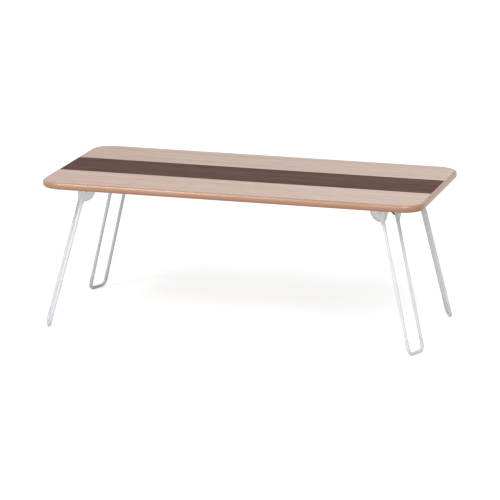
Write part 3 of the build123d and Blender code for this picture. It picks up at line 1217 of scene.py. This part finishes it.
@dataclass
class BracketScrews:
    """Pan-head wood screws with a cross recess and a rolled thread, four to a bracket.

    The shares are of the shank's radius (root_share), of the head's rows (dome_share), of a
    pitch (root_flat), of the head's height (shank_start) and of the recess (recess_taper).
    """

    head_radius: float = 3.5 * MM
    head_height: float = 2.2 * MM
    dome_share: float = 0.8
    shank_radius: float = 1.75 * MM
    shank_start: float = 0.3
    root_share: float = 0.68
    root_flat: float = 0.4
    length: float = 12 * MM
    point_length: float = 2.5 * MM
    pitch: float = 1.35 * MM
    thread_start: float = 0.8 * MM
    thread_full: float = 2.4 * MM
    recess_reach: float = 2.4 * MM
    recess_width: float = 0.95 * MM
    recess_depth: float = 1.35 * MM
    recess_taper: float = 0.45
    seat_above_pivot: float = 7.4 * MM
    spread: float = 15 * MM
    outer: float = 3 * MM
    inner: float = 22 * MM
    around: int = 20
    rows: int = 96
    head_rows: int = 16
    seed: int = 11
    crease: float = 35

    def build(self, hinges: Sequence[HingePlace]) -> bpy.types.Object:
        """Make one screw and set it at every screw hole.

        Args:
            hinges: The four hinges.

        Returns:
            All the screws as one piece.
        """
        sizes = {
            "Head Radius": self.head_radius,
            "Head Height": self.head_height,
            "Shank Radius": self.shank_radius,
            "Length": self.length,
            "Point Length": self.point_length,
            "Pitch": self.pitch,
            "Recess Reach": self.recess_reach,
            "Recess Width": self.recess_width,
            "Recess Depth": self.recess_depth,
            "Thread Start": self.thread_start,
            "Thread Full": self.thread_full,
        }
        counts = {"Around": self.around, "Rows": self.rows, "Head Rows": self.head_rows}
        tree = ShapeTree("bracket_screws", sizes, counts)
        solid = tree.joined([self._head(tree), self._shank(tree)])
        tree.close(tree.at_seats(tree.cut(solid, self._recess(tree)), self.seed))
        up = Vector((0, 0, 1))
        seats = [
            (hinge.point(out, along, self.seat_above_pivot), up)
            for hinge in hinges
            for out in (self.outer, -self.inner)
            for along in (-self.spread, self.spread)
        ]
        paint = FINISHES[Slot.SCREW_STEEL].material()
        screws = tree.make("bracket_screw_set", seat_mesh("screw_seats", seats), paint)
        smooth(screws, self.crease)
        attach(screws, BOARD_BODY)
        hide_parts(*(f"bracket_screws_{hinge.corner}" for hinge in hinges))
        return screws

    def _head(self, tree: ShapeTree) -> Socket:
        """Turn the pan head, below its seat: a domed face and a flat underside.

        Args:
            tree: The screw's tree.

        Returns:
            The head.
        """
        radius, height = tree.size("Head Radius"), tree.size("Head Height")
        grid, turn, share = tree.grid("Around", tree.size("Head Rows"))
        arc_radius = (radius * radius + height * height) / (height * 2.0)
        sweep = (radius / arc_radius).math("ARCSINE")
        angle = (share / self.dome_share).least(1.0) * sweep
        inward = ((share - self.dome_share) / (1 - self.dome_share)).most(0.0)
        reach = angle.math("SINE") * arc_radius
        drop = angle.math("COSINE") * arc_radius - (arc_radius - height)
        return tree.turned(grid, turn, reach * (1.0 - inward), drop * -1.0)

    def _shank(self, tree: ShapeTree) -> Socket:
        """Turn the threaded shank, from inside the head to its point.

        Args:
            tree: The screw's tree.

        Returns:
            The shank.
        """
        grid, turn, share = tree.grid("Around", tree.size("Rows"))
        start = tree.size("Head Height") * -self.shank_start
        full = tree.size("Length") - start
        height = share * full + start
        left = tree.size("Length") - height
        taper = (left / tree.size("Point Length")).least(1.0)
        phase = height / tree.size("Pitch") - turn / math.tau
        wave = (phase.math("FRACT") - MIDDLE).size() * 2.0
        ridge = ((wave - self.root_flat) / (1 - self.root_flat)).most(0.0)
        thread = ridge * height.rise(tree.size("Thread Start"), tree.size("Thread Full"))
        form = self.root_share + (1 - self.root_share) * thread
        half_row = 0.5 / self.rows
        radius = tree.size("Shank Radius") * taper * form * share.over(half_row)
        return tree.turned(grid, turn, radius, height)

    def _recess(self, tree: ShapeTree) -> list[Socket]:
        """Make two crossing blades, narrower towards the bottom of the recess.

        Args:
            tree: The screw's tree.

        Returns:
            The blades, to be cut out of the head.
        """
        blades = []
        reach, width, depth = (tree.size(f"Recess {name}") for name in ("Reach", "Width", "Depth"))
        for size in ((reach * 2.0, width), (width, reach * 2.0)):
            block = tree.out(
                "GeometryNodeMeshCube", None, {"Size": tree.vector(*size, depth * 2.0)}
            )
            x, y, z = tree.parts(tree.here())
            narrow = 1.0 - z.over(0.0) * self.recess_taper
            place = tree.vector(x * narrow, y * narrow, z - tree.size("Head Height"))
            sockets = {"Geometry": block, "Position": place}
            blades.append(tree.out("GeometryNodeSetPosition", None, sockets))
        return blades


@dataclass
class PivotRivets:
    """Semi-tubular rivets: a domed head outside each ear and a rolled head against the washer.

    The dome's points, and the flat of the rolled head, are shares of the head's radius and
    height. The cup flares by a share of its own radius.
    """

    shank_radius: float = 2.5 * MM
    head_radius: float = 4.5 * MM
    head_height: float = 1.8 * MM
    seat: float = 23.15 * MM
    ear_face: float = 31.4 * MM
    cup_radius: float = 1.5 * MM
    cup_depth: float = 1.3 * MM
    cup_flare: float = 1.12
    roll_flat: tuple[float, float] = (0.82, 0.42)
    dome: tuple[tuple[float, float], ...] = ((0.93, 0.48), (0.66, 0.84), (0.34, 0.98))
    rounding: float = 0.45 * MM
    rounding_from: float = 1.2 * MM
    around: int = 40
    round_steps: int = 5
    crease: float = 38

    def build(self, hinges: Sequence[HingePlace]) -> bpy.types.Object:
        """Turn one rivet and set it in every ear.

        Args:
            hinges: The four hinges.

        Returns:
            All the rivets as one piece.
        """
        sizes = {
            "Shank Radius": self.shank_radius,
            "Head Radius": self.head_radius,
            "Head Height": self.head_height,
            "Grip": self.ear_face - self.seat,
            "Cup Radius": self.cup_radius,
            "Cup Depth": self.cup_depth,
            "Rounding": self.rounding,
            "Rounding From": self.rounding_from,
        }
        counts = {"Around": self.around, "Rounding Steps": self.round_steps}
        tree = ShapeTree("pivot_rivets", sizes, counts)
        tree.close(tree.at_seats(tree.lathe(self._profile(tree), "Around")))
        seats = [
            (hinge.point(0.0, side * self.seat, 0.0), hinge.axis * side)
            for hinge in hinges
            for side in (1, -1)
        ]
        paint = FINISHES[Slot.RIVET_STEEL].material()
        rivets = tree.make("pivot_rivet_set", seat_mesh("rivet_seats", seats), paint)
        smooth(rivets, self.crease)
        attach(rivets, BOARD_BODY)
        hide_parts(*(f"pivot_rivets_{hinge.corner}" for hinge in hinges))
        return rivets

    def _profile(self, tree: ShapeTree) -> Socket:
        """Draw a rivet's half section, from its cup to the top of its dome.

        Args:
            tree: The rivet's tree.

        Returns:
            The line, whose X is the radius and whose Y is the height.
        """
        shank, head, height = (
            tree.size(name) for name in ("Shank Radius", "Head Radius", "Head Height")
        )
        grip, cup, depth = (tree.size(name) for name in ("Grip", "Cup Radius", "Cup Depth"))
        low = height * -1.0
        flat, roll = self.roll_flat
        line = tree.points(
            [
                (0.0, low + depth),
                (cup, low + depth),
                (cup * self.cup_flare, low),
                (head * flat, low),
                (head, height * -roll),
                (head, 0.0),
                (shank, 0.0),
                (shank, grip),
                (head, grip),
                *((head * across, grip + height * up) for across, up in self.dome),
                (0.0, grip + height),
            ]
        )
        radius, _, _ = tree.parts(tree.here())
        bend = radius.over(tree.size("Rounding From")) * tree.size("Rounding")
        return tree.rounded(line, bend, tree.size("Rounding Steps"))


@dataclass
class FootSleeve:
    """The clear tube pushed over a hairpin's bottom bend, a little crumpled inside its bends.

    A fold's wave goes on by fold_rate, in radians a metre, and the folds grow from nothing at
    folds_end to their full depth at folds_full, both measured from the corner's diagonal.
    """

    rod_spacing: float = 50 * MM
    bend_radius: float = 12 * MM
    outer_radius: float = 4.35 * MM
    wall: float = 0.8 * MM
    rise: float = 30 * MM
    lean: float = math.radians(14.7)
    step: float = 0.8 * MM
    crumple: float = 0.16 * MM
    fold_rate: float = 3000.0
    folds_end: float = 14 * MM
    folds_full: float = 5 * MM
    around: int = 36
    bend_steps: int = 20
    crease: float = 40

    def build(self, hinge: HingePlace) -> bpy.types.Object:
        """Sweep one leg's sleeve and give it its wall.

        Args:
            hinge: The leg's hinge.

        Returns:
            The sleeve.
        """
        sizes = {
            "Spacing": self.rod_spacing,
            "Bend Radius": self.bend_radius,
            "Radius": self.outer_radius,
            "Rise": self.rise,
            "Step": self.step,
            "Crumple": self.crumple,
            "Folds End": self.folds_end,
            "Folds Full": self.folds_full,
        }
        counts = {"Around": self.around, "Bend Steps": self.bend_steps}
        tree = ShapeTree(f"foot_sleeve_{hinge.corner}", sizes, counts)
        tree.close(self._crumpled(tree, self._tube(tree)))
        name = f"foot_sleeve_tube_{hinge.corner}"
        paint = FINISHES[Slot.CLEAR_VINYL].material()
        sleeve = tree.make(name, bpy.data.meshes.new("sleeve"), paint)
        self._place(sleeve, hinge)
        self._thicken(sleeve)
        smooth(sleeve, self.crease)
        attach(sleeve, hinge.body)
        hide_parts(f"foot_sleeve_{hinge.corner}")
        return sleeve

    def _tube(self, tree: ShapeTree) -> Socket:
        """Sweep a ring along the hairpin's bottom bend, in the tree's own X and Y.

        Args:
            tree: The sleeve's tree.

        Returns:
            The open tube.
        """
        side, rise = tree.size("Spacing") / 2.0, tree.size("Rise")
        other = side * -1.0
        line = tree.points([(side, rise), (side, 0.0), (other, 0.0), (other, rise)])
        line = tree.rounded(line, tree.size("Bend Radius"), tree.size("Bend Steps"))
        sockets = {"Curve": line, "Length": tree.size("Step")}
        line = tree.out("GeometryNodeResampleCurve", {"mode": "LENGTH"}, sockets)
        sockets = {"Resolution": tree.size("Around"), "Radius": tree.size("Radius")}
        ring = tree.out("GeometryNodeCurvePrimitiveCircle", {"mode": "RADIUS"}, sockets)
        return tree.out("GeometryNodeCurveToMesh", None, {"Curve": line, "Profile Curve": ring})

    def _crumpled(self, tree: ShapeTree, tube: Socket) -> Socket:
        """Press shallow folds into the inner side of both bends.

        Args:
            tree: The sleeve's tree.
            tube: The open tube.

        Returns:
            The tube with its folds.
        """
        normal = tree.out("GeometryNodeInputNormal")
        _, inside, _ = tree.parts(normal)
        x, y, _ = tree.parts(tree.here())
        diagonal = (y + x.size() - tree.size("Spacing") / 2.0).size()
        wave = ((x.size() - y) * self.fold_rate).math("SINE")
        near = diagonal.rise(tree.size("Folds End"), tree.size("Folds Full"))
        depth = wave * near * inside.most(0.0)
        sockets = {0: normal, "Scale": depth * tree.size("Crumple") * -1.0}
        offset = tree.out("ShaderNodeVectorMath", {"operation": "SCALE"}, sockets)
        return tree.out("GeometryNodeSetPosition", None, {"Geometry": tube, "Offset": offset})

    def _place(self, sleeve: bpy.types.Object, hinge: HingePlace) -> None:
        """Move the mesh from its own plane to the foot of the leg.

        Args:
            sleeve: The sleeve.
            hinge: The leg's hinge.
        """
        up = Vector((0, 0, math.cos(self.lean))) - hinge.out * math.sin(self.lean)
        foot = hinge.pivot - up * ((hinge.pivot.z - self.outer_radius) / math.cos(self.lean))
        turn = Matrix((hinge.axis, up, hinge.axis.cross(up))).transposed().to_4x4()
        sleeve.data.transform(Matrix.Translation(foot) @ turn)

    def _thicken(self, sleeve: bpy.types.Object) -> None:
        """Give the tube its wall, inwards.

        Args:
            sleeve: The sleeve.
        """
        wall = sleeve.modifiers.new("wall", "SOLIDIFY")
        wall.thickness = self.wall
        wall.offset = -1.0
        made = as_shown(sleeve)
        sleeve.modifiers.remove(wall)
        sleeve.data = made


# ---------------------------------------------------------------- studio


def background_rays(sheet: NodeSheet) -> Field:
    """Find the rays that show the background: straight to the camera, mirrored or passed through.

    Args:
        sheet: The tree that asks.

    Returns:
        1 for those rays and 0 for the others.
    """
    rays = sheet.node("ShaderNodeLightPath").outputs
    seen = Field(sheet, rays["Is Camera Ray"])
    for name in ("Is Glossy Ray", "Is Transmission Ray"):
        seen = seen.most(Field(sheet, rays[name]))
    return seen


@dataclass(frozen=True)
class Lamp:
    """A soft box: its middle, width and height in metres, and its power in watts."""

    name: str
    place: Triple
    width: float
    height: float
    power: float

    def hang(self, aim: Vector) -> None:
        """Put the lamp in the scene.

        Args:
            aim: The point that it is turned to.
        """
        data = bpy.data.lights.new(self.name, "AREA")
        data.shape = "RECTANGLE"
        data.size, data.size_y = self.width, self.height
        data.energy = self.power
        lamp = bpy.data.objects.new(self.name, data)
        lamp.location = self.place
        lamp.rotation_mode = "QUATERNION"
        lamp.rotation_quaternion = (aim - Vector(self.place)).to_track_quat("-Z", "Y")
        bpy.context.scene.collection.objects.link(lamp)


@dataclass
class Studio:
    """Pale floor, soft lamps and the camera.

    The floor is lifted to white for the rays that show it, by near_lift within near_reach of
    the table and by far_lift beyond far_reach, so that it keeps a faint shadow.
    """

    floor_reach: float = 14.0
    floor_tone: Colour = tone(208, 208, 208)
    floor_worn: Colour = tone(205, 205, 205)
    floor_mottle: Pattern = Pattern(even(0.8), show=0.1)
    floor_roughness: float = 0.9
    near_lift: float = 0.68
    far_lift: float = 0.88
    near_reach: float = 0.9
    far_reach: float = 3.2
    air_tone: Colour = tone(255, 255, 255)
    air_level: float = 0.39
    lamps: tuple[Lamp, ...] = (
        Lamp("key_lamp", (1.4, -2.5, 3.2), 2.2, 2.2, 83.0),
        Lamp("band_lamp", (-1.42, -2.8, 3.0), 0.8, 1.1, 47.0),
        Lamp("front_lamp", (-0.9, -4.3, 0.8), 2.6, 0.9, 25.0),
    )
    lamp_aim: Triple = (0.0, 0.0, 0.2)
    focal_length: float = 215.836
    sensor: float = 36.0
    camera_place: Triple = (1.60131, -5.85396, 1.61145)
    camera_yaw: float = math.radians(15.318)
    camera_pitch: float = math.radians(13.531)
    camera_roll: float = math.radians(0.471)
    camera_sight: float = 100.0

    def build(self) -> None:
        """Set up the floor, the world, the lamps and the camera."""
        self._floor()
        self._world()
        for lamp in self.lamps:
            lamp.hang(Vector(self.lamp_aim))
        self._camera()
        bpy.context.scene.view_settings.view_transform = "Standard"

    def _floor(self) -> None:
        """Lay a wide flat floor."""
        reach = self.floor_reach
        corners = [(-reach, -reach, 0), (reach, -reach, 0), (reach, reach, 0), (-reach, reach, 0)]
        mesh = bpy.data.meshes.new("studio_floor")
        mesh.from_pydata(corners, [], [(0, 1, 2, 3)])
        mesh.materials.append(self._floor_paint())
        floor = bpy.data.objects.new("studio_floor", mesh)
        bpy.context.scene.collection.objects.link(floor)

    def _floor_paint(self) -> bpy.types.Material:
        """Paint that looks white, keeps soft shadows and can be seen through from below.

        Returns:
            The material.
        """
        surface = Surface("studio_floor_paint")
        here = surface.here()
        mottle = surface.noise(self.floor_mottle, here) * self.floor_mottle.show
        x, y, _ = surface.parts(here)
        away = ((x * x + y * y) ** 0.5).rise(self.near_reach, self.far_reach)
        level = self.near_lift + away * (self.far_lift - self.near_lift)
        sockets: dict[str | int, Any] = {"Color": level, "Strength": background_rays(surface)}
        lift = surface.out("ShaderNodeEmission", None, sockets)
        lit = surface.out("ShaderNodeAddShader", None, {0: surface.shader.outputs[0], 1: lift})
        below = surface.out("ShaderNodeNewGeometry", output="Backfacing")
        clear = surface.out("ShaderNodeBsdfTransparent")
        both = surface.out("ShaderNodeMixShader", None, {0: below, 1: lit, 2: clear})
        surface.plug(surface.end.inputs[0], both)
        return surface.dress(
            {
                "Base Color": surface.mix(mottle, self.floor_tone, self.floor_worn),
                "Roughness": self.floor_roughness,
                "Specular IOR Level": 0.0,
            }
        )

    def _world(self) -> None:
        """Fill the world with an even pale sky, which the camera sees as white."""
        world = bpy.data.worlds.new("studio_air")
        world.use_nodes = True
        bpy.context.scene.world = world
        sheet = NodeSheet(world.node_tree)
        sheet.tree.nodes.clear()
        level = background_rays(sheet) * (1.0 - self.air_level) + self.air_level
        sockets = {"Color": self.air_tone, "Strength": level}
        sky = sheet.out("ShaderNodeBackground", None, sockets)
        sheet.node("ShaderNodeOutputWorld", None, {0: sky})

    def _camera(self) -> None:
        """Set a long lens a little above the table, turned to its right-hand front."""
        yaw, pitch, roll = self.camera_yaw, self.camera_pitch, self.camera_roll
        ahead = Vector(
            (-math.sin(yaw) * math.cos(pitch), math.cos(yaw) * math.cos(pitch), -math.sin(pitch))
        )
        level = Vector((math.cos(yaw), math.sin(yaw), 0))
        above = level.cross(ahead)
        right = level * math.cos(roll) + above * math.sin(roll)
        up = above * math.cos(roll) - level * math.sin(roll)
        data = bpy.data.cameras.new("studio_camera")
        data.sensor_width = self.sensor
        data.lens = self.focal_length
        data.clip_end = self.camera_sight
        camera = bpy.data.objects.new("studio_camera", data)
        stance = Matrix((right, up, -ahead)).transposed().to_4x4()
        camera.matrix_world = Matrix.Translation(self.camera_place) @ stance
        bpy.context.scene.collection.objects.link(camera)
        bpy.context.scene.camera = camera


def report(piece: bpy.types.Object) -> None:
    """Say what a piece is made of."""
    mesh = piece.data
    LOG.info("%s: %d points, %d faces", piece.name, len(mesh.vertices), len(mesh.polygons))


def main() -> None:
    """Build the table's dress and the studio in order, and report each piece."""
    logging.basicConfig(level=logging.INFO, format="%(message)s")
    hinges = hinge_places()
    SolidDresser().dress()
    report(EdgeBand().build())
    report(BracketScrews().build(hinges))
    report(PivotRivets().build(hinges))
    for hinge in hinges:
        report(FootSleeve().build(hinge))
    Studio().build()


if __name__ == "__main__":
    main()
